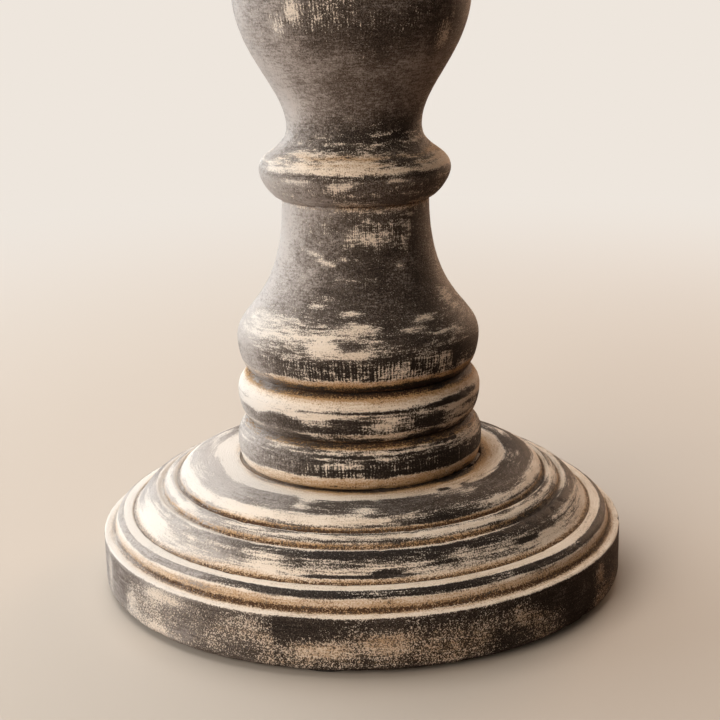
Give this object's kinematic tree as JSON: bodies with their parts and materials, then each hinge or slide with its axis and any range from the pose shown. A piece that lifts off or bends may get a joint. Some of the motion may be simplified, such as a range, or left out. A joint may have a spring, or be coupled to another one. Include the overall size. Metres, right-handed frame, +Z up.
{
  "type": "candlestick",
  "caption": "Turned wooden pillar candlestick with a moulded round base, baluster stem and shallow dish that holds a steel drip pan on a pricket; dark paint rubbed back to cream.",
  "frame": {"origin": "centre of the resting plane under the felt pads", "axes": "+Z up along the turning axis; -Y is the side the picture shows as the front, +X is its right"},
  "size_m": [0.15, 0.15, 0.2897],
  "materials": {
    "rubbed_wood": "matt charcoal paint rubbed back to a cream undercoat",
    "zinc_steel": "dull zinc plating",
    "black_iron": "satin blackened steel",
    "felt": "pressed felt"
  },
  "bodies": {
    "root": {"base": "rubbed_wood", "base_washer": "zinc_steel", "base_screw": "zinc_steel", "stem": "rubbed_wood", "candle_dish": "rubbed_wood", "drip_pan": "black_iron", "pricket": "black_iron", "felt_pad_1": "felt", "felt_pad_2": "felt", "felt_pad_3": "felt", "felt_pad_4": "felt"}
  },
  "joints": []
}
